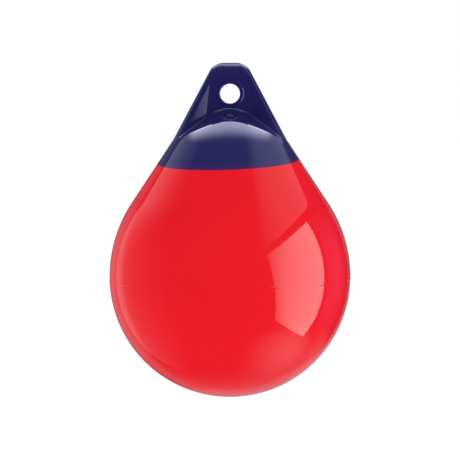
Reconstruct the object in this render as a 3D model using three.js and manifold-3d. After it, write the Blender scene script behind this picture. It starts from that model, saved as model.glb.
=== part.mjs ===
// Inflatable ball fender: a blown vinyl ball with a moulded ropehold on top.
// Millimetres, +Z up, the valve side faces -Y. The origin is the centre of the rope eye.

import * as THREE from 'three';
import { mergeVertices } from 'three/addons/utils/BufferGeometryUtils.js';
import Module from 'manifold-3d';

const wasm = await Module();
wasm.setup();

const degrees = Math.PI / 180;

// Ball
const ballRadius = 140;
const widestDrop = 212.4;          // the widest level, below the eye
const upperArcRadius = 155.5;      // above the widest level the profile is a flatter arc
const coneAngle = 33.4 * degrees;  // then a straight cone, measured from the vertical
const seamDrop = 215.3;
const seamWidth = 2.4;
const seamHeight = 0.5;

// Neck that carries the eye: a steeper cone with a rounded top edge
const neckRadiusAtEye = 37.4;
const neckAngle = 28 * degrees;
const neckHeight = 35.5;
const neckTopRound = 5.5;

// Rope eye
const eyeRadius = 11.5;
const eyeRimRound = 4.6;

// Pockets in the front and back of the neck, which leave a web and two flanges
const webThickness = 23;
const pocketHalfWidth = 23.3;
const pocketDraft = 3.3 * degrees;
const pocketWallAngle = 20 * degrees;
const pocketCornerWidth = 5;
const flangeEdgeRound = 3.5;

// Floor of the pockets: a rounded cone, stretched to the front and back
const floorDrop = 17.2;
const floorArcRadius = 44;
const floorAngle = 35.5 * degrees; // from the horizontal, at the sides
const floorStretch = 1.38;

// Shoulder that rounds inward from the cone up to the edge of the floor
const shoulderDrop = 58.3;
const shoulderRadius = 140;

// Colour line, where the blue cap ends: a plane that leans to the front and one side
const lineDrop = 77.6;
const lineLeanSide = 0.034;
const lineLeanFront = 0.097;

// Cap wall over the air space, and the gap between separate pieces
const capWall = 7;
const seatGap = 0.3;

// Valve in the front pocket, on a raised pad that stands on a flat land in the floor
const valveReach = 33;
const landSink = 1;                // depth of the land under the floor, at the valve
const landTilt = 28 * degrees;
const padHeight = 0.8;
const padBorder = 0.9;             // between the recess and the edge of the pad
const screwHoleRadius = 2.9;
const sleeveWall = 2;
const sleeveLength = 9;
const sleeveFlangeWidth = 1.9;
const sleeveFlangeThickness = 1.2;
const sealWidth = 1.5;
const sealThickness = 0.7;
const headOverhang = 0.2;          // of the screw's head, past the seal
const headThickness = 1.3;
const headSink = 0.3;              // under the pad's surface
const slotWidth = 1.3;
const slotDepth = 0.7;

// Facets
const ballSegments = 64;
const eyeSegments = 36;
const smallSegments = 32;
const lowerRings = 14;
const arcRings = 6;
const shoulderRings = 8;
const mergeDistance = 1e-4;

// Values that follow from the driving dimensions
const coneTopRadius = ballRadius - upperArcRadius + upperArcRadius * Math.cos(coneAngle);
const coneStartDrop = widestDrop - upperArcRadius * Math.sin(coneAngle);
const coneRadiusAt = (z) => coneTopRadius - (z + coneStartDrop) * Math.tan(coneAngle);
const neckRadiusAt = (z) => neckRadiusAtEye - z * Math.tan(neckAngle);
const lineReach = coneRadiusAt(-lineDrop);
const lineSwing = (Math.abs(lineLeanSide) + Math.abs(lineLeanFront)) * lineReach;
const capBase = -lineDrop - lineSwing - 2 * capWall;

// Solids from geometries, and back

function solidOf(geometry) {
  geometry.deleteAttribute('normal');
  geometry.deleteAttribute('uv');
  const merged = mergeVertices(geometry, mergeDistance);
  const corners = merged.index.array;
  const triangles = [];
  for (let i = 0; i < corners.length; i += 3) {
    const [a, b, c] = corners.slice(i, i + 3);
    // a pole leaves triangles of no area
    if (a !== b && b !== c && c !== a) triangles.push(a, b, c);
  }
  return new wasm.Manifold(new wasm.Mesh({
    numProp: 3,
    vertProperties: new Float32Array(merged.attributes.position.array),
    triVerts: new Uint32Array(triangles),
  }));
}

function geometryOf(solid) {
  const mesh = solid.getMesh();
  const geometry = new THREE.BufferGeometry();
  geometry.setAttribute('position', new THREE.BufferAttribute(mesh.vertProperties, 3));
  geometry.setIndex(new THREE.BufferAttribute(mesh.triVerts, 1));
  return geometry;
}

// Shapes that several pieces share

// Geometries turned from [radius, height] points, about Y and about Z
function lathe(points, segments) {
  const profile = points.map(([radius, height]) => new THREE.Vector2(radius, height));
  return new THREE.LatheGeometry(profile, segments);
}

function turned(points, segments) {
  return lathe(points, segments).rotateX(90 * degrees);
}

// Points on an arc, from one angle to another, both ends included
function arcPoints(centreRadius, centreHeight, radius, from, to, count) {
  return Array.from({ length: count + 1 }, (_, i) => {
    const angle = from + (to - from) * i / count;
    return [centreRadius + radius * Math.cos(angle), centreHeight + radius * Math.sin(angle)];
  });
}

// The same arc, where its last point has to lie on the axis
function arcToAxis(...arc) {
  const points = arcPoints(...arc);
  points.at(-1)[0] = 0;
  return points;
}

// Everything under the colour line, raised or lowered by an offset
function belowColourLine(offset) {
  const span = 4 * ballRadius;
  const lean = new THREE.Matrix4().set(
    1, 0, 0, 0,
    0, 1, 0, 0,
    lineLeanSide, lineLeanFront, 1, offset - lineDrop - span / 2,
    0, 0, 0, 1,
  );
  return solidOf(new THREE.BoxGeometry(span, span, span).applyMatrix4(lean));
}

// Fall of the pocket floor's surface at a distance from the axis, before its stretch
const floorArcEnd = floorArcRadius * Math.sin(floorAngle);
const floorArcFall = floorArcRadius * (1 - Math.cos(floorAngle));
const floorFallAt = (radius) => (radius < floorArcEnd
  ? floorArcRadius - Math.sqrt(floorArcRadius ** 2 - radius ** 2)
  : floorArcFall + (radius - floorArcEnd) * Math.tan(floorAngle));

// Everything under the pocket floor, lowered by a wall
function belowFloor(wall) {
  const top = -floorDrop - wall / Math.cos(floorAngle);
  const base = -lineDrop - ballRadius;
  const edge = top - floorFallAt(lineReach);
  const crown = arcToAxis(
    0, top - floorArcRadius, floorArcRadius,
    90 * degrees - floorAngle, 90 * degrees, arcRings,
  );
  const floor = turned([[0, base], [lineReach, base], [lineReach, edge], ...crown], ballSegments);
  return solidOf(floor.scale(1, floorStretch, 1));
}

// The shoulder as a turned solid, drawn inward by a wall: a cone that rounds over to the axis
function shoulder(wall) {
  const centreRadius = coneRadiusAt(-shoulderDrop) - shoulderRadius * Math.cos(coneAngle);
  const centreHeight = -shoulderDrop - shoulderRadius * Math.sin(coneAngle);
  const radius = shoulderRadius - wall;
  const baseRadius = coneRadiusAt(capBase) - wall / Math.cos(coneAngle);
  const poleAngle = Math.acos(-centreRadius / radius);
  const arc = arcToAxis(centreRadius, centreHeight, radius, coneAngle, poleAngle, shoulderRings);
  return solidOf(turned([[0, capBase], [baseRadius, capBase], ...arc], ballSegments));
}

// The air space under the cap, which the ball's crown fills
function airSpace(clearance) {
  const inset = capWall + clearance;
  return shoulder(inset).intersect(belowFloor(inset));
}

// Neck: cross-sections lofted from inside the cap to the rounded top

// Outline of the neck at a height, counter-clockwise from +X
function neckOutline(z) {
  const rimSteps = 6;
  const edgeSteps = 3;
  const cornerSteps = 4;
  const searchSteps = 40;
  const rise = Math.max(0, z - neckHeight + neckTopRound);
  const inset = neckTopRound - Math.sqrt(neckTopRound ** 2 - rise ** 2);
  const radius = neckRadiusAt(z) - inset;
  const face = webThickness / 2 - inset;
  const wallSlope = Math.tan(pocketWallAngle);
  const cornerStart = pocketHalfWidth - z * Math.tan(pocketDraft) - pocketCornerWidth / 2;
  const cornerEnd = cornerStart + pocketCornerWidth;

  // Steepness and depth of the pocket's surface across the neck: web, blended corner, wall
  const intoCorner = (x) => Math.min(pocketCornerWidth, Math.max(0, x - cornerStart));
  const slopeAt = (x) => wallSlope * intoCorner(x) / pocketCornerWidth;
  const depthAt = (x) => face + slopeAt(x) * intoCorner(x) / 2 + wallSlope * Math.max(0, x - cornerEnd);

  // Centre of the round on the flange's edge, which touches the pocket's surface at x
  const roundCentre = (x) => {
    const tilt = Math.atan(slopeAt(x));
    return [x + flangeEdgeRound * Math.sin(tilt), depthAt(x) - flangeEdgeRound * Math.cos(tilt), tilt];
  };
  let touch = 0;
  let step = radius;
  for (let i = 0; i < searchSteps; i += 1) {
    step /= 2;
    const [x, y] = roundCentre(touch + step);
    if (Math.hypot(x, y) < radius - flangeEdgeRound) touch += step;
  }
  const [roundX, roundY, tilt] = roundCentre(touch);
  const endAngle = Math.atan2(roundY, roundX);

  // The corner's points keep their places unless the neck is too narrow to reach them
  const rim = arcPoints(0, 0, radius, 0, endAngle, rimSteps);
  const edge = arcPoints(roundX, roundY, flangeEdgeRound, endAngle, 90 * degrees + tilt, edgeSteps);
  const corner = Array.from({ length: cornerSteps + 1 }, (_, i) => {
    const x = cornerEnd - pocketCornerWidth * i / cornerSteps;
    const limit = touch * (1 - (i + 1) / (2 * cornerSteps + 2));
    return [Math.min(x, limit), depthAt(Math.min(x, limit))];
  });
  const quarter = [...rim, ...edge.slice(1), ...corner, [0, face]];

  // Mirrored to the other three quarters, without repeating the points on the axes
  const left = quarter.slice(0, -1).reverse().map(([x, y]) => [-x, y]);
  const back = [...quarter, ...left];
  const front = back.slice(1, -1).reverse().map(([x, y]) => [x, -y]);
  return [...back, ...front];
}

// A closed solid through outlines that have the same number of points
function lofted(outlines) {
  const count = outlines[0].points.length;
  const positions = outlines.flatMap(({ z, points }) => points.flatMap(([x, y]) => [x, y, z]));
  const triangles = [];
  for (let level = 0; level < outlines.length - 1; level += 1) {
    for (let i = 0; i < count; i += 1) {
      const a = level * count + i;
      const b = level * count + (i + 1) % count;
      triangles.push(a, b, b + count, a, b + count, a + count);
    }
  }
  const capFaces = ({ points }) => {
    const corners = points.map(([x, y]) => new THREE.Vector2(x, y));
    return THREE.ShapeUtils.triangulateShape(corners, []);
  };
  const lastStart = (outlines.length - 1) * count;
  capFaces(outlines[0]).forEach(([a, b, c]) => triangles.push(c, b, a));
  capFaces(outlines.at(-1)).forEach((face) => triangles.push(...face.map((corner) => corner + lastStart)));
  const geometry = new THREE.BufferGeometry();
  geometry.setAttribute('position', new THREE.Float32BufferAttribute(positions, 3));
  geometry.setIndex(triangles);
  return solidOf(geometry);
}

function neck() {
  const straightSteps = 9;
  const roundSteps = 4;
  const roundStart = neckHeight - neckTopRound;
  const heights = [];
  for (let i = 0; i <= straightSteps; i += 1) {
    heights.push(capBase + (roundStart - capBase) * i / straightSteps);
  }
  for (let i = 1; i <= roundSteps; i += 1) {
    heights.push(roundStart + neckTopRound * Math.sin(90 * degrees * i / roundSteps));
  }
  return lofted(heights.map((z) => ({ z, points: neckOutline(z) })));
}

// The eye's cut through the web, turned about Y, with both rims rounded
function eyeCut() {
  const roundCentre = webThickness / 2 - eyeRimRound;
  const rimRadius = eyeRadius + eyeRimRound;
  const reach = 2 * webThickness;
  const nearRound = arcPoints(rimRadius, -roundCentre, eyeRimRound, 270 * degrees, 180 * degrees, arcRings);
  const farRound = arcPoints(rimRadius, roundCentre, eyeRimRound, 180 * degrees, 90 * degrees, arcRings);
  return solidOf(lathe([
    [0, -reach],
    [rimRadius, -reach],
    ...nearRound,
    ...farRound,
    [rimRadius, reach],
    [0, reach],
  ], eyeSegments));
}

// Valve: everything is placed along its axis, which stands square to the land.
// Local heights count from the pad's surface, and local +Y points up the slope to the web.

const landHeight = -floorDrop - floorFallAt(valveReach / floorStretch) - landSink;
const valvePlace = new THREE.Matrix4()
  .makeTranslation(0, -valveReach, landHeight)
  .multiply(new THREE.Matrix4().makeRotationX(landTilt))
  .multiply(new THREE.Matrix4().makeTranslation(0, 0, padHeight));

const shankRadius = screwHoleRadius - seatGap;
const barrelRadius = screwHoleRadius + sleeveWall;
const boreRadius = barrelRadius + seatGap;
const flangeRadius = barrelRadius + sleeveFlangeWidth;
const recessRadius = flangeRadius + seatGap;
const sealRadius = screwHoleRadius + sealWidth;
const headRadius = sealRadius + headOverhang;

// The stack of the valve from the pad's surface down
const headBase = -headSink - headThickness;
const sealTop = headBase - seatGap;
const sleeveTop = sealTop - sealThickness - seatGap;
const flangeBase = sleeveTop - sleeveFlangeThickness;
const recessBase = flangeBase - seatGap;
const sleeveEnd = sleeveTop - sleeveLength;

// A solid from an outline drawn on the pad's surface, between two local heights
function standing(outline, base, top) {
  const options = { depth: top - base, bevelEnabled: false, curveSegments: smallSegments / 2 };
  return solidOf(new THREE.ExtrudeGeometry(outline, options).translate(0, 0, base).applyMatrix4(valvePlace));
}

// The land's cut: everything over its plane, from the web to past the edge of the shoulder
function overLand() {
  const halfWidth = pocketHalfWidth;
  const outline = new THREE.Shape([
    new THREE.Vector2(-halfWidth, -lineReach),
    new THREE.Vector2(halfWidth, -lineReach),
    new THREE.Vector2(halfWidth, valveReach - webThickness / 2),
    new THREE.Vector2(-halfWidth, valveReach - webThickness / 2),
  ]);
  return standing(outline, -padHeight, neckHeight);
}

// The raised pad, which runs out over the edge of the shoulder
function valvePad() {
  const radius = recessRadius + padBorder;
  const outline = new THREE.Shape();
  outline.moveTo(-radius, -lineReach);
  outline.lineTo(radius, -lineReach);
  outline.lineTo(radius, 0);
  outline.absarc(0, 0, radius, 0, Math.PI, false);
  outline.closePath();
  return standing(outline, -capWall / 2, 0);
}

// The stepped hole for the sleeve, through the cap and into the ball
function valveBore() {
  const base = sleeveEnd - seatGap;
  return solidOf(turned([
    [0, base],
    [boreRadius, base],
    [boreRadius, recessBase],
    [recessRadius, recessBase],
    [recessRadius, capWall],
    [0, capWall],
  ], smallSegments).applyMatrix4(valvePlace));
}

// The separate pieces

function fenderBody() {
  const seamRadius = Math.sqrt(ballRadius ** 2 - (seamDrop - widestDrop) ** 2);
  const seamStart = Math.asin((widestDrop - seamDrop - seamWidth / 2) / ballRadius);
  const top = -lineDrop + lineSwing + capWall;
  const lower = arcPoints(0, -widestDrop, ballRadius, -90 * degrees, seamStart, lowerRings);
  lower[0][0] = 0;
  const upper = arcPoints(ballRadius - upperArcRadius, -widestDrop, upperArcRadius, 0, coneAngle, arcRings);
  const ball = solidOf(turned([
    ...lower,
    [seamRadius + seamHeight, -seamDrop],
    [ballRadius, -seamDrop + seamWidth / 2],
    ...upper,
    [coneRadiusAt(top), top],
    [0, top],
  ], ballSegments));
  return ball
    .intersect(belowColourLine(-seatGap / 2))
    .add(airSpace(seatGap))
    .subtract(valveBore());
}

function ropehold() {
  const cap = shoulder(0);
  return cap
    .intersect(belowFloor(0))
    .subtract(overLand())
    .add(valvePad().intersect(cap))
    .add(neck())
    .subtract(airSpace(0))
    .subtract(belowColourLine(seatGap / 2))
    .subtract(eyeCut())
    .subtract(valveBore());
}

function valveSleeve() {
  return solidOf(turned([
    [screwHoleRadius, sleeveEnd],
    [barrelRadius, sleeveEnd],
    [barrelRadius, flangeBase],
    [flangeRadius, flangeBase],
    [flangeRadius, sleeveTop],
    [screwHoleRadius, sleeveTop],
    [screwHoleRadius, sleeveEnd],
  ], smallSegments).applyMatrix4(valvePlace));
}

function valveSeal() {
  const base = sealTop - sealThickness;
  return solidOf(turned([
    [screwHoleRadius, base],
    [sealRadius, base],
    [sealRadius, sealTop],
    [screwHoleRadius, sealTop],
    [screwHoleRadius, base],
  ], smallSegments).applyMatrix4(valvePlace));
}

function valveScrew() {
  const crownSteps = 3;
  const edgeRound = headThickness / 2;
  const crown = arcPoints(
    headRadius - edgeRound, -headSink - edgeRound, edgeRound,
    0, 90 * degrees, crownSteps,
  );
  const screw = solidOf(turned([
    [0, sleeveEnd],
    [shankRadius, sleeveEnd],
    [shankRadius, headBase],
    [headRadius, headBase],
    ...crown,
    [0, -headSink],
  ], smallSegments).applyMatrix4(valvePlace));
  const slot = new THREE.BoxGeometry(3 * headRadius, slotWidth, 2 * slotDepth)
    .translate(0, 0, -headSink)
    .applyMatrix4(valvePlace);
  return screw.subtract(solidOf(slot));
}

// Materials and the finished group

const redVinyl = { color: 0xea1d26, roughness: 0.18, metalness: 0 };
const blueVinyl = { color: 0x2b2a68, roughness: 0.2, metalness: 0 };
const blackPlastic = { color: 0x1b1a33, roughness: 0.35, metalness: 0 };
const blackRubber = { color: 0x111113, roughness: 0.7, metalness: 0 };

function piece(name, solid, finish) {
  const mesh = new THREE.Mesh(geometryOf(solid), new THREE.MeshStandardMaterial(finish));
  mesh.name = name;
  return mesh;
}

const fender = new THREE.Group();
fender.add(
  piece('fender_body', fenderBody(), redVinyl),
  piece('ropehold', ropehold(), blueVinyl),
  piece('valve_sleeve', valveSleeve(), blackPlastic),
  piece('valve_seal', valveSeal(), blackRubber),
  piece('valve_screw', valveScrew(), blackPlastic),
);

export default fender;
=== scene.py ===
"""Ball fender: a glossy red vinyl ball under a navy blue moulded ropehold, in soft studio light.

Metres, +Z up, the valve side faces -Y. The origin is the centre of the rope eye.
"""

import math

import bmesh
import bpy
import numpy as np
import openvdb
from mathutils import Matrix, Vector

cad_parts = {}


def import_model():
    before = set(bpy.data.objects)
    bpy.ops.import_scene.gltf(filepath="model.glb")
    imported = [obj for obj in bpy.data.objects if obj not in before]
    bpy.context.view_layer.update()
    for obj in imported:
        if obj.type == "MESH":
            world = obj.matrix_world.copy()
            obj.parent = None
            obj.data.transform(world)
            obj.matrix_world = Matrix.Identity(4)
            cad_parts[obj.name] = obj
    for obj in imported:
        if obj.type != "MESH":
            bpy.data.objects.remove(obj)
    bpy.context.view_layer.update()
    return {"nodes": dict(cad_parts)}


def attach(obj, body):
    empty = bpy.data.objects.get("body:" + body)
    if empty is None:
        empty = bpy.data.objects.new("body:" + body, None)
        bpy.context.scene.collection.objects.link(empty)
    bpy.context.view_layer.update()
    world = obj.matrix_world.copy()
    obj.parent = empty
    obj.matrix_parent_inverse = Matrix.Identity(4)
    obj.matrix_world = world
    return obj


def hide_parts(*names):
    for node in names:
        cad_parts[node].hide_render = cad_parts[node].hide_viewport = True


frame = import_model()

# Ball: a sphere below its widest level, a flatter arc above it, then a straight cone. The cone is made
# up to CONE_END, past the colour line, and cut at the line.
BALL_RADIUS = 0.140
WIDEST_HEIGHT = -0.2124
UPPER_ARC_RADIUS = 0.1555
CONE_ANGLE = math.radians(33.4)
CONE_END = -0.06
SEAM_HEIGHT = -0.2153
SEAM_TILT = 0.0099
SEAM_RIDGE = 0.00035
SEAM_WIDTH = 0.0009
SEAM_REACH = 0.02

# Colour line between the blue cap and the red ball: a leaning plane. The ropehold is made down to
# LINE_MARGIN under it, and cut at the line.
LINE_HEIGHT = -0.0776
LINE_LEAN_SIDE = 0.034
LINE_LEAN_FRONT = 0.097
LINE_GAP = 0.0001
LINE_MARGIN = 0.016

# Neck, with the pockets that leave its web and flanges. Its fillet on the floor grows from the cone's
# skin inwards, by FILLET_GROWTH for each metre, up to NECK_FILLET.
NECK_RADIUS = 0.0374
NECK_ANGLE = math.radians(28)
NECK_HEIGHT = 0.0355
NECK_TOP_ROUND = 0.009
WEB_THICKNESS = 0.023
POCKET_HALF_WIDTH = 0.0236
POCKET_DRAFT = math.radians(5.5)
POCKET_WALL_ANGLE = math.radians(20.5)
POCKET_CORNER = 0.0024
POCKET_HOLLOW = 0.0003
POCKET_HOLLOW_REACH = 0.008
FLANGE_EDGE_ROUND = 0.0045
NECK_FILLET = 0.003
FILLET_GROWTH = 0.35

# Rope eye
EYE_RADIUS = 0.0115
EYE_RIM_ROUND = 0.0014
EYE_BOSS_RADIUS = 0.0158
EYE_BOSS_HEIGHT = 0.0011
EYE_BOSS_EDGE = 0.0009

# Floor of the pockets, and the shoulder round it
FLOOR_DROP = 0.0172
FLOOR_ARC_RADIUS = 0.044
FLOOR_ANGLE = math.radians(35.5)
FLOOR_STRETCH = 1.335
SHOULDER_DROP = 0.0583
SHOULDER_RADIUS = 0.140
CREST_ROUND = 0.0004

# Valve: a flat land in the floor, and the stepped hole that stands square to it. The hole's axis goes
# through the point at VALVE_REACH and LAND_HEIGHT, and meets the land LAND_RISE further out.
VALVE_REACH = 0.033
LAND_HEIGHT = -0.02527
LAND_TILT = math.radians(28)
LAND_RISE = 0.0008
LAND_ROUND = 0.001
RECESS_RADIUS = 0.0071
RECESS_DEPTH = 0.0044
BORE_RADIUS = 0.0052
BORE_DEPTH = 0.0122

# Colours of the ropehold. The neck's darker blue is painted shade, plain above NECK_FOOT and blended
# in under it; the purple fades out above the colour line, and ropes have scuffed the neck's top.
NECK_FOOT = -0.028
NECK_BLEND = 0.012
PURPLE_REACH = 0.007
SCUFFED_FROM = 0.02
SCUFF_ROUGHNESS = 0.3

# Cell of the grid that the ropehold is meshed on, and how often its mesh is evened out
VOXEL = 0.00081
EVENING_ROUNDS = 4

# Stage
WHITE = (1, 1, 1)
GROUND_HEIGHT = -0.6
GROUND_REACH = 40
LAMP_AIM = Vector((0, 0, -0.2))
CAMERA_PLACE = (0, -2.4, -0.02828)
CAMERA_TILT = math.radians(-3.1)
CAMERA_LENS = 161.8

# Values that follow
CONE_START = WIDEST_HEIGHT + UPPER_ARC_RADIUS * math.sin(CONE_ANGLE)
CONE_START_RADIUS = BALL_RADIUS - UPPER_ARC_RADIUS * (1 - math.cos(CONE_ANGLE))
FLOOR_ARC_END = FLOOR_ARC_RADIUS * math.sin(FLOOR_ANGLE)
LINE_NORMAL = Vector((-LINE_LEAN_SIDE, -LINE_LEAN_FRONT, 1)).normalized()


def cone_radius(height):
    """The radius of the ball's straight cone."""
    return CONE_START_RADIUS - (height - CONE_START) * math.tan(CONE_ANGLE)


SHOULDER_CENTRE_RADIUS = cone_radius(-SHOULDER_DROP) - SHOULDER_RADIUS * math.cos(CONE_ANGLE)
SHOULDER_CENTRE_HEIGHT = -SHOULDER_DROP - SHOULDER_RADIUS * math.sin(CONE_ANGLE)


# Mesh helpers

def new_piece(name, mesh, material, replaced):
    """A finished piece that is shown in place of a CAD node."""
    piece = bpy.data.objects.new(name, mesh)
    bpy.context.scene.collection.objects.link(piece)
    mesh.materials.append(material)
    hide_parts(replaced)
    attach(piece, "root")


def mesh_from(name, shape):
    """A mesh of a bmesh, which is freed."""
    mesh = bpy.data.meshes.new(name)
    shape.to_mesh(mesh)
    shape.free()
    return mesh


def turned(shape, points, segments):
    """Turns radius and height pairs about Z into a skin, closed where they meet the axis."""
    verts = [shape.verts.new((radius, 0, height)) for radius, height in points]
    edges = [shape.edges.new(pair) for pair in zip(verts, verts[1:])]
    bmesh.ops.spin(
        shape, geom=verts + edges, cent=(0, 0, 0), axis=(0, 0, 1), dvec=(0, 0, 0),
        angle=2 * math.pi, steps=segments, use_merge=True,
    )
    bmesh.ops.remove_doubles(shape, verts=shape.verts, dist=1e-6)
    bmesh.ops.recalc_face_normals(shape, faces=shape.faces)


def arc(centre_radius, centre_height, radius, start, end, count):
    """Points on an arc between two angles in degrees."""
    points = []
    for i in range(count + 1):
        angle = math.radians(start + (end - start) * i / count)
        points.append((
            centre_radius + radius * math.cos(angle),
            centre_height + radius * math.sin(angle),
        ))
    return points


def cut_at_line(shape, offset, keep_above):
    """Cuts a shape flat at the colour line and closes it there."""
    cut = bmesh.ops.bisect_plane(
        shape, geom=shape.verts[:] + shape.edges[:] + shape.faces[:],
        plane_co=(0, 0, LINE_HEIGHT + offset), plane_no=LINE_NORMAL,
        clear_inner=keep_above, clear_outer=not keep_above,
    )
    rim = [part for part in cut["geom_cut"] if isinstance(part, bmesh.types.BMEdge)]
    bmesh.ops.edgenet_fill(shape, edges=rim)
    bmesh.ops.recalc_face_normals(shape, faces=shape.faces)


# Ball

def ball_mesh():
    """The ball, with fine rings in the belt round its seam."""
    shape = bmesh.new()
    belt_start = -6
    lower = arc(0, WIDEST_HEIGHT, BALL_RADIUS, -90, belt_start, 70)
    lower[0] = (0, lower[0][1])
    belt = arc(0, WIDEST_HEIGHT, BALL_RADIUS, belt_start + 0.1, 0, 56)
    upper = arc(
        BALL_RADIUS - UPPER_ARC_RADIUS, WIDEST_HEIGHT, UPPER_ARC_RADIUS,
        1, math.degrees(CONE_ANGLE), 30,
    )
    cone = []
    cone_steps = 24
    for i in range(1, cone_steps + 1):
        height = CONE_START + (CONE_END - CONE_START) * i / cone_steps
        cone.append((cone_radius(height), height))
    profile = []
    for radius, height in lower + belt + upper + cone:
        ridge = SEAM_RIDGE * math.exp(-((height - SEAM_HEIGHT) / SEAM_WIDTH) ** 2)
        profile.append((radius + ridge, height))
    turned(shape, profile, 256)
    for vert in shape.verts:
        away = abs(vert.co.z - SEAM_HEIGHT) / SEAM_REACH
        if away < 1:
            vert.co.z += SEAM_TILT * vert.co.x * (1 - away * away) ** 2
    cut_at_line(shape, -LINE_GAP / 2, keep_above=False)
    return mesh_from("ball", shape)


# Ropehold: fields that are negative inside the shape, about equal to the distance from its skin

def cut_to(a, b, soft):
    """What two fields have in common, with a rounded edge."""
    hard = np.minimum(np.maximum(a, b), -soft)
    return hard + np.hypot(np.maximum(a + soft, 0), np.maximum(b + soft, 0))


def joined(a, b, soft):
    """Two fields together, with a fillet between them."""
    return -cut_to(-a, -b, soft)


def shoulder_field(x, y, z):
    """The cap: the ball's cone, with the shoulder's arc over it."""
    r = np.hypot(x, y)
    out = r - SHOULDER_CENTRE_RADIUS
    up = z - SHOULDER_CENTRE_HEIGHT
    cone = (r - cone_radius(z)) * math.cos(CONE_ANGLE)
    return np.where(np.arctan2(up, out) < CONE_ANGLE, cone, np.hypot(out, up) - SHOULDER_RADIUS)


def floor_field(x, y, z):
    """The floor of the pockets: an arc with straight flanks, longer to the front and the back."""
    r = np.hypot(x, y / FLOOR_STRETCH)
    on_arc = np.minimum(r, FLOOR_ARC_END)
    height = np.sqrt(FLOOR_ARC_RADIUS ** 2 - on_arc ** 2)
    slope = on_arc / height
    fall = FLOOR_ARC_RADIUS - height + (r - on_arc) * slope
    lean = slope * np.hypot(x, y / FLOOR_STRETCH ** 2) / np.maximum(r, 1e-9)
    return (z + FLOOR_DROP + fall) / np.hypot(1, lean)


def neck_fields(x, y, z):
    """The neck, and how far outside its cone a point is."""
    r = np.hypot(x, y)
    cone = (r - NECK_RADIUS + z * math.tan(NECK_ANGLE)) * math.cos(NECK_ANGLE)
    wall_slope = math.tan(POCKET_WALL_ANGLE)
    corner = POCKET_HALF_WIDTH - z * math.tan(POCKET_DRAFT) - POCKET_CORNER / 2
    into = np.clip(np.abs(x) - corner, 0, POCKET_CORNER)
    slope = wall_slope * into / POCKET_CORNER
    past = np.maximum(np.abs(x) - corner - POCKET_CORNER, 0)
    boss = EYE_BOSS_HEIGHT / 2 * (1 - np.tanh((np.hypot(x, z) - EYE_BOSS_RADIUS) / EYE_BOSS_EDGE))
    hollow = POCKET_HOLLOW * (1 - np.exp(-past / POCKET_HOLLOW_REACH))
    depth = WEB_THICKNESS / 2 + boss + slope * into / 2 + wall_slope * past + hollow
    pocket = (np.abs(y) - depth) / np.hypot(1, slope)
    sides = cut_to(cone, pocket, FLANGE_EDGE_ROUND)
    return cut_to(sides, z - NECK_HEIGHT, NECK_TOP_ROUND), cone


def ropehold_field(x, y, z):
    """The whole ropehold, but for the valve's hole."""
    back = y + VALVE_REACH
    up = z - LAND_HEIGHT
    neck_shade = up * math.cos(LAND_TILT) - back * math.sin(LAND_TILT)
    top = cut_to(floor_field(x, y, z), neck_shade - LAND_RISE, LAND_ROUND)
    cap = cut_to(shoulder_field(x, y, z), top, CREST_ROUND)
    neck, outside = neck_fields(x, y, z)
    fillet = np.clip(-FILLET_GROWTH * outside, CREST_ROUND / 2, NECK_FILLET)
    body = joined(cap, neck, fillet)
    eye = EYE_RADIUS - np.hypot(x, z)
    return cut_to(body, eye, EYE_RIM_ROUND)


def field_slope(points):
    """The slope of the ropehold's field at each point."""
    step = 1e-5
    slope = np.empty_like(points)
    for axis in range(3):
        ahead = points.copy()
        behind = points.copy()
        ahead[:, axis] += step
        behind[:, axis] -= step
        slope[:, axis] = (ropehold_field(*ahead.T) - ropehold_field(*behind.T)) / (2 * step)
    return slope


def onto_skin(points):
    """The points moved along the slope to where the field is zero."""
    for _ in range(3):
        slope = field_slope(points)
        value = ropehold_field(*points.T)
        points = points - slope * (value / np.maximum((slope ** 2).sum(axis=1), 1e-6))[:, None]
    return points


def evened(points, quads):
    """Each point moves to the middle of its neighbours, then back onto the skin."""
    total = np.zeros_like(points)
    count = np.zeros(len(points))
    for side in range(4):
        here = quads[:, side]
        there = quads[:, (side + 1) % 4]
        np.add.at(total, here, points[there])
        np.add.at(total, there, points[here])
        np.add.at(count, here, 1)
        np.add.at(count, there, 1)
    middle = total / np.maximum(count, 1)[:, None]
    return onto_skin(points + 0.5 * (middle - points))


def ropehold_skin():
    """The field's skin as a mesh, down to a flat base under the colour line."""
    reach = cone_radius(LINE_HEIGHT) * (1 + abs(LINE_LEAN_SIDE) + abs(LINE_LEAN_FRONT)) + 4 * VOXEL
    base = LINE_HEIGHT - LINE_MARGIN
    xs = np.arange(-reach, reach, VOXEL)
    zs = np.arange(base - 3 * VOXEL, NECK_HEIGHT + 3 * VOXEL, VOXEL)
    x, y, z = np.meshgrid(xs, xs, zs, indexing="ij", sparse=True)
    values = np.maximum(ropehold_field(x, y, z), base - z)
    grid = openvdb.FloatGrid()
    grid.copyFromArray(values.astype(np.float32))
    points, quads = grid.convertToQuads(isovalue=0)
    points = points.astype(float) * VOXEL + np.array((xs[0], xs[0], zs[0]))
    points = onto_skin(points)
    for _ in range(EVENING_ROUNDS):
        points = evened(points, quads)
    mesh = bpy.data.meshes.new("ropehold")
    mesh.from_pydata(points.tolist(), [], quads.tolist())
    shape = bmesh.new()
    shape.from_mesh(mesh)
    bpy.data.meshes.remove(mesh)
    cut_at_line(shape, LINE_GAP / 2, keep_above=True)
    return mesh_from("ropehold", shape)


VALVE_PLACE = (
    Matrix.Translation((0, -VALVE_REACH, LAND_HEIGHT))
    @ Matrix.Rotation(LAND_TILT, 4, "X")
    @ Matrix.Translation((0, 0, LAND_RISE))
)


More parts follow.
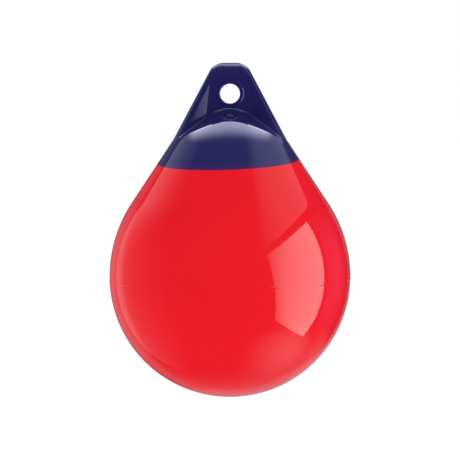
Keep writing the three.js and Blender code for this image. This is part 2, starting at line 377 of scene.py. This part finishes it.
def valve_hole():
    """The hole's shape, up to a little outside the land."""
    outside = 0.004
    shape = bmesh.new()
    turned(shape, [
        (0, -BORE_DEPTH),
        (BORE_RADIUS, -BORE_DEPTH),
        (BORE_RADIUS, -RECESS_DEPTH),
        (RECESS_RADIUS, -RECESS_DEPTH),
        (RECESS_RADIUS, outside),
        (0, outside),
    ], 96)
    shape.transform(VALVE_PLACE)
    return mesh_from("hole", shape)


def cut_out(mesh, tool):
    """The mesh with the tool's shape cut out of it."""
    whole = bpy.data.objects.new("whole", mesh)
    cutter = bpy.data.objects.new("cutter", tool)
    for thing in (whole, cutter):
        bpy.context.scene.collection.objects.link(thing)
    modifier = whole.modifiers.new("cut", "BOOLEAN")
    modifier.operation = "DIFFERENCE"
    modifier.solver = "EXACT"
    modifier.object = cutter
    bpy.context.view_layer.update()
    shape = bmesh.new()
    shape.from_object(whole, bpy.context.evaluated_depsgraph_get())
    bpy.data.objects.remove(whole)
    bpy.data.objects.remove(cutter)
    bpy.data.meshes.remove(tool)
    bpy.data.meshes.remove(mesh)
    return shape


def ropehold_mesh():
    """The ropehold with its valve hole. Its shading follows the field where a face lies on it."""
    off_skin = 1e-6
    alike = 0.8
    mesh = mesh_from("ropehold", cut_out(ropehold_skin(), valve_hole()))
    crisp(mesh)
    points = np.empty((len(mesh.vertices), 3))
    mesh.vertices.foreach_get("co", points.ravel())
    slope = field_slope(points)
    on_skin = np.abs(ropehold_field(*points.T)) < off_skin
    smooth = slope / np.linalg.norm(slope, axis=1)[:, None] * on_skin[:, None]
    corners = np.empty(len(mesh.loops), dtype=int)
    mesh.loops.foreach_get("vertex_index", corners)
    sizes = np.empty(len(mesh.polygons), dtype=int)
    mesh.polygons.foreach_get("loop_total", sizes)
    flat = np.empty((len(mesh.polygons), 3))
    mesh.polygons.foreach_get("normal", flat.ravel())
    flat = np.repeat(flat, sizes, axis=0)
    normals = smooth[corners]
    agrees = (normals * flat).sum(axis=1) > alike
    mesh.normals_split_custom_set((normals * agrees[:, None]).tolist())
    return mesh


def crisp(mesh, angle=math.radians(35)):
    """Smooth shading, with edges past the angle kept sharp."""
    mesh.shade_smooth()
    mesh.set_sharp_from_angle(angle=angle)


# Materials

def principled(name):
    material = bpy.data.materials.new(name)
    material.use_nodes = True
    tree = material.node_tree
    return material, tree.nodes, tree.links, tree.nodes["Principled BSDF"]


def noise(nodes, links, place, scale, detail):
    """A noise texture fixed to the object, whose scale counts blobs to a metre."""
    texture = nodes.new("ShaderNodeTexNoise")
    texture.inputs["Scale"].default_value = scale
    texture.inputs["Detail"].default_value = detail
    links.new(place.outputs["Object"], texture.inputs["Vector"])
    return texture.outputs["Fac"]


def mapped(nodes, links, value, low, high, start=0.3, end=0.7):
    """A value spread over a new range."""
    node = nodes.new("ShaderNodeMapRange")
    node.inputs["From Min"].default_value = start
    node.inputs["From Max"].default_value = end
    node.inputs["To Min"].default_value = low
    node.inputs["To Max"].default_value = high
    links.new(value, node.inputs["Value"])
    return node.outputs["Result"]


def blended(nodes, links, factor, a, b):
    """Two colours, or a socket and a colour, mixed by a factor."""
    node = nodes.new("ShaderNodeMix")
    node.data_type = "RGBA"
    links.new(factor, node.inputs["Factor"])
    if isinstance(a, tuple):
        node.inputs["A"].default_value = (*a, 1)
    else:
        links.new(a, node.inputs["A"])
    node.inputs["B"].default_value = (*b, 1)
    return node.outputs["Result"]


def relief(nodes, links, shader, height, depth):
    """A bump too fine to model."""
    bump = nodes.new("ShaderNodeBump")
    bump.inputs["Distance"].default_value = depth
    links.new(height, bump.inputs["Height"])
    links.new(bump.outputs["Normal"], shader.inputs["Normal"])


def vinyl(name, color, deeper, low_roughness, high_roughness):
    """Glossy moulded vinyl: its colour and gloss drift a little over the skin."""
    material, nodes, links, shader = principled(name)
    place = nodes.new("ShaderNodeTexCoord")
    drift = mapped(nodes, links, noise(nodes, links, place, scale=14, detail=3), 0, 1)
    links.new(blended(nodes, links, drift, color, deeper), shader.inputs["Base Color"])
    rubbed = noise(nodes, links, place, scale=60, detail=5)
    links.new(
        mapped(nodes, links, rubbed, low_roughness, high_roughness), shader.inputs["Roughness"],
    )
    ripple = noise(nodes, links, place, scale=90, detail=2)
    relief(nodes, links, shader, ripple, depth=0.00002)
    return material


def ball_vinyl():
    return vinyl("ball vinyl", (0.8, 0.011, 0.0178), (0.77, 0.01, 0.0168), 0.04, 0.07)


def ropehold_vinyl():
    """Navy vinyl, a little purple where it meets the red; the neck's darker blue is painted shade.

    Ropes have scuffed the top of the neck, so it is less glossy there.
    """
    material = vinyl("ropehold vinyl", (0.0222, 0.0213, 0.11), (0.0205, 0.0195, 0.104), 0.08, 0.12)
    nodes = material.node_tree.nodes
    links = material.node_tree.links
    shader = nodes["Principled BSDF"]
    shader.inputs["Specular IOR Level"].default_value = 0.71
    shader.inputs["Specular Tint"].default_value = (0.7, 0.7, 1, 1)
    place = nodes.new("ShaderNodeTexCoord")
    height = nodes.new("ShaderNodeVectorMath")
    height.operation = "DOT_PRODUCT"
    height.inputs[1].default_value = LINE_NORMAL
    links.new(place.outputs["Object"], height.inputs[0])
    plain = shader.inputs["Base Color"].links[0].from_socket
    # Painted shade: the neck gets a darker blue than the cap, blended in under NECK_FOOT.
    neck_shade = mapped(
        nodes, links, height.outputs["Value"], 0, 1, NECK_FOOT - NECK_BLEND, NECK_FOOT,
    )
    color = blended(nodes, links, neck_shade, plain, (0.0138, 0.0118, 0.09))
    line = LINE_HEIGHT * LINE_NORMAL.z
    near_line = mapped(nodes, links, height.outputs["Value"], 1, 0, line, line + PURPLE_REACH)
    color = blended(nodes, links, near_line, color, (0.045, 0.019, 0.115))
    links.new(color, shader.inputs["Base Color"])
    scuffed = mapped(
        nodes, links, height.outputs["Value"], 0, SCUFF_ROUGHNESS, SCUFFED_FROM, NECK_HEIGHT,
    )
    rough = nodes.new("ShaderNodeMath")
    rough.operation = "ADD"
    links.new(shader.inputs["Roughness"].links[0].from_socket, rough.inputs[0])
    links.new(scuffed, rough.inputs[1])
    links.new(rough.outputs[0], shader.inputs["Roughness"])
    return material


def hard_plastic(name, color, worn, low_roughness, high_roughness):
    """Moulded plastic or rubber with a fine grain."""
    material, nodes, links, shader = principled(name)
    place = nodes.new("ShaderNodeTexCoord")
    grain = noise(nodes, links, place, scale=900, detail=4)
    links.new(
        blended(nodes, links, mapped(nodes, links, grain, 0, 1), color, worn),
        shader.inputs["Base Color"],
    )
    links.new(
        mapped(nodes, links, grain, low_roughness, high_roughness), shader.inputs["Roughness"],
    )
    shader.inputs["Specular IOR Level"].default_value = 0.1
    relief(nodes, links, shader, grain, depth=0.00003)
    return material


RED = ball_vinyl()
BLUE = ropehold_vinyl()
NAVY = hard_plastic("valve plastic", (0.0125, 0.0105, 0.08), (0.016, 0.0135, 0.09), 0.45, 0.6)
RUBBER = hard_plastic("seal rubber", (0.007, 0.007, 0.008), (0.011, 0.011, 0.012), 0.6, 0.75)

ball = ball_mesh()
crisp(ball)
new_piece("ball", ball, RED, "fender_body")
new_piece("ropehold_moulding", ropehold_mesh(), BLUE, "ropehold")

for node, material in (("valve_sleeve", NAVY), ("valve_seal", RUBBER), ("valve_screw", NAVY)):
    thing = frame["nodes"][node]
    thing.data.materials.clear()
    thing.data.materials.append(material)


# Stage

def glow(name, color, strength, centre, inner, outer):
    """Light that fades out round a centre and hides nothing behind it."""
    material = bpy.data.materials.new(name)
    material.use_nodes = True
    nodes = material.node_tree.nodes
    links = material.node_tree.links
    nodes.clear()
    place = nodes.new("ShaderNodeTexCoord")
    distance = nodes.new("ShaderNodeVectorMath")
    distance.operation = "DISTANCE"
    distance.inputs[1].default_value = centre
    links.new(place.outputs["Object"], distance.inputs[0])
    fade = nodes.new("ShaderNodeMapRange")
    fade.interpolation_type = "SMOOTHSTEP"
    fade.inputs["From Min"].default_value = inner
    fade.inputs["From Max"].default_value = outer
    fade.inputs["To Min"].default_value = strength
    fade.inputs["To Max"].default_value = 0
    links.new(distance.outputs["Value"], fade.inputs["Value"])
    emission = nodes.new("ShaderNodeEmission")
    emission.inputs["Color"].default_value = (*color, 1)
    links.new(fade.outputs["Result"], emission.inputs["Strength"])
    clear = nodes.new("ShaderNodeBsdfTransparent")
    both = nodes.new("ShaderNodeAddShader")
    links.new(emission.outputs[0], both.inputs[0])
    links.new(clear.outputs[0], both.inputs[1])
    out = nodes.new("ShaderNodeOutputMaterial")
    links.new(both.outputs[0], out.inputs["Surface"])
    return material


def card(name, corner, across, up, strength, centre, inner, outer, color=WHITE):
    """A flat light card, given by a corner and two sides. Its light is full up to inner from the
    centre, and gone at outer.
    """
    corner, across, up = Vector(corner), Vector(across), Vector(up)
    shape = bmesh.new()
    corners = (corner, corner + across, corner + across + up, corner + up)
    shape.faces.new([shape.verts.new(place) for place in corners])
    thing = bpy.data.objects.new(name, mesh_from(name, shape))
    bpy.context.scene.collection.objects.link(thing)
    thing.data.materials.append(glow(name, color, strength, centre, inner, outer))
    thing.visible_camera = False
    thing.visible_diffuse = False
    thing.visible_transmission = False
    thing.visible_shadow = False


# Right of the fender: the window, the pane over it and the bluish wall beside it
card("window", corner=(2.27, -2.03, -2.27), across=(0.08, 2.33, 0.10), up=(-0.72, -0.10, 2.98),
     strength=3.45, centre=(1.95, 1.5, -0.8), inner=2.2, outer=4.6, color=(1, 1, 0.95))
card("upper_pane", corner=(2.6, -5, 1.76), across=(0, 9, 0), up=(0, 0, 6),
     strength=0.66, centre=(2.6, 1.2, 2.2), inner=1.6, outer=5.8)
card("right_wall", corner=(2.6, 0.6, -2), across=(0, 4, 0), up=(0, 0, 3.4),
     strength=0.33, centre=(2.6, 0.8, -0.3), inner=0.2, outer=2.6, color=(0.4, 0.4, 1))

# Left of it
card("left_softbox", corner=(-2, -1.6, -4.5), across=(0, 3.6, 0), up=(0, 0, 7.5),
     strength=0.42, centre=(-2, 2.3, -1), inner=0, outer=4.2)
card("left_lamp", corner=(-2, -0.5, -0.3), across=(0, 2.48, 0), up=(0, 0, 4),
     strength=0.85, centre=(-2, 1.7, 1.9), inner=0.5, outer=2.1)

# Over it: one lit ceiling, left dark behind the neck, whose top and eye would glare
CEILING_LIGHT = {"strength": 6, "centre": (0, 1.5, 2), "inner": 1.47, "outer": 2.28}
card("ceiling", corner=(-6, -2, 2), across=(12, 0, 0), up=(0, 2.8, 0), **CEILING_LIGHT)
for side in (-1, 1):
    card(f"ceiling_{side + 2}", corner=(0.8 * side, 0.8, 2), across=(5 * side, 0, 0),
         up=(0, 5.2, 0), **CEILING_LIGHT)

# Behind it, which lights its rims, and under it
card("back_left", corner=(-5, 3, -4), across=(4.5, 0, 0), up=(0, 0, 5.5),
     strength=0.31, centre=(-2.9, 3, -1), inner=1.2, outer=3)
card("back_right", corner=(-0.5, 3, -4), across=(2.3, 0, 0), up=(0, 0, 4.6),
     strength=0.14, centre=(0.5, 3, -1), inner=1.5, outer=4)
card("back_low", corner=(-0.6, 3, -1.7), across=(2.6, 0, 0), up=(0, 0, 1.5),
     strength=0.4, centre=(0.5, 3, -1.35), inner=0.4, outer=1.3)
card("floor_light", corner=(-3, -4, -2.2), across=(9, 0, 0), up=(0, 9, 0),
     strength=0.9, centre=(1.65, -0.1, -2.2), inner=0.2, outer=1.6)
card("floor_back", corner=(-3, -1, -2.21), across=(9, 0, 0), up=(0, 9, 0),
     strength=0.28, centre=(0.9, 2.4, -2.21), inner=1, outer=2.8)


def floor():
    """A wide pale floor under the hanging fender. It glows enough to look white round the shadow."""
    shape = bmesh.new()
    bmesh.ops.create_grid(shape, x_segments=1, y_segments=1, size=GROUND_REACH)
    shape.transform(Matrix.Translation((0, 0, GROUND_HEIGHT)))
    thing = bpy.data.objects.new("floor", mesh_from("floor", shape))
    bpy.context.scene.collection.objects.link(thing)
    material, _, _, shader = principled("floor")
    shader.inputs["Base Color"].default_value = (0.8, 0.8, 0.8, 1)
    shader.inputs["Roughness"].default_value = 1
    shader.inputs["Specular IOR Level"].default_value = 0
    shader.inputs["Emission Color"].default_value = (1, 1, 1, 1)
    shader.inputs["Emission Strength"].default_value = 0.3
    thing.data.materials.append(material)
    thing.visible_glossy = False


floor()


def world():
    """White all round, but the glossy vinyl mirrors the dark studio that the photo was taken in."""
    backdrop = bpy.data.worlds.new("studio")
    bpy.context.scene.world = backdrop
    backdrop.use_nodes = True
    nodes = backdrop.node_tree.nodes
    links = backdrop.node_tree.links
    white = nodes["Background"]
    white.inputs["Color"].default_value = (1, 1, 1, 1)
    white.inputs["Strength"].default_value = 1
    dark = nodes.new("ShaderNodeBackground")
    dark.inputs["Color"].default_value = (0.02, 0.02, 0.06, 1)
    path = nodes.new("ShaderNodeLightPath")
    choice = nodes.new("ShaderNodeMixShader")
    links.new(path.outputs["Is Glossy Ray"], choice.inputs["Fac"])
    links.new(white.outputs[0], choice.inputs[1])
    links.new(dark.outputs[0], choice.inputs[2])
    links.new(choice.outputs[0], nodes["World Output"].inputs["Surface"])


world()


def lamp(name, place, size, energy):
    """A large soft lamp that points at the ball."""
    light = bpy.data.lights.new(name, "AREA")
    light.size = size
    light.energy = energy
    thing = bpy.data.objects.new(name, light)
    thing.location = place
    aim = LAMP_AIM - thing.location
    thing.rotation_euler = aim.to_track_quat("-Z", "Y").to_euler()
    thing.visible_glossy = False
    bpy.context.scene.collection.objects.link(thing)


lamp("side_lamp", (2.2, -0.9, 0.1), 1.8, 7)
lamp("left_rim_lamp", (-2.2, 1.7, -0.3), 1.5, 26)
lamp("right_rim_lamp", (2.2, 1.7, -0.3), 1.5, 26)

camera_data = bpy.data.cameras.new("camera")
camera_data.lens = CAMERA_LENS
camera_data.sensor_width = 36
camera = bpy.data.objects.new("camera", camera_data)
camera.location = CAMERA_PLACE
camera.rotation_euler = (math.radians(90) + CAMERA_TILT, 0, 0)
bpy.context.scene.collection.objects.link(camera)
bpy.context.scene.camera = camera
bpy.context.scene.view_settings.view_transform = "Standard"
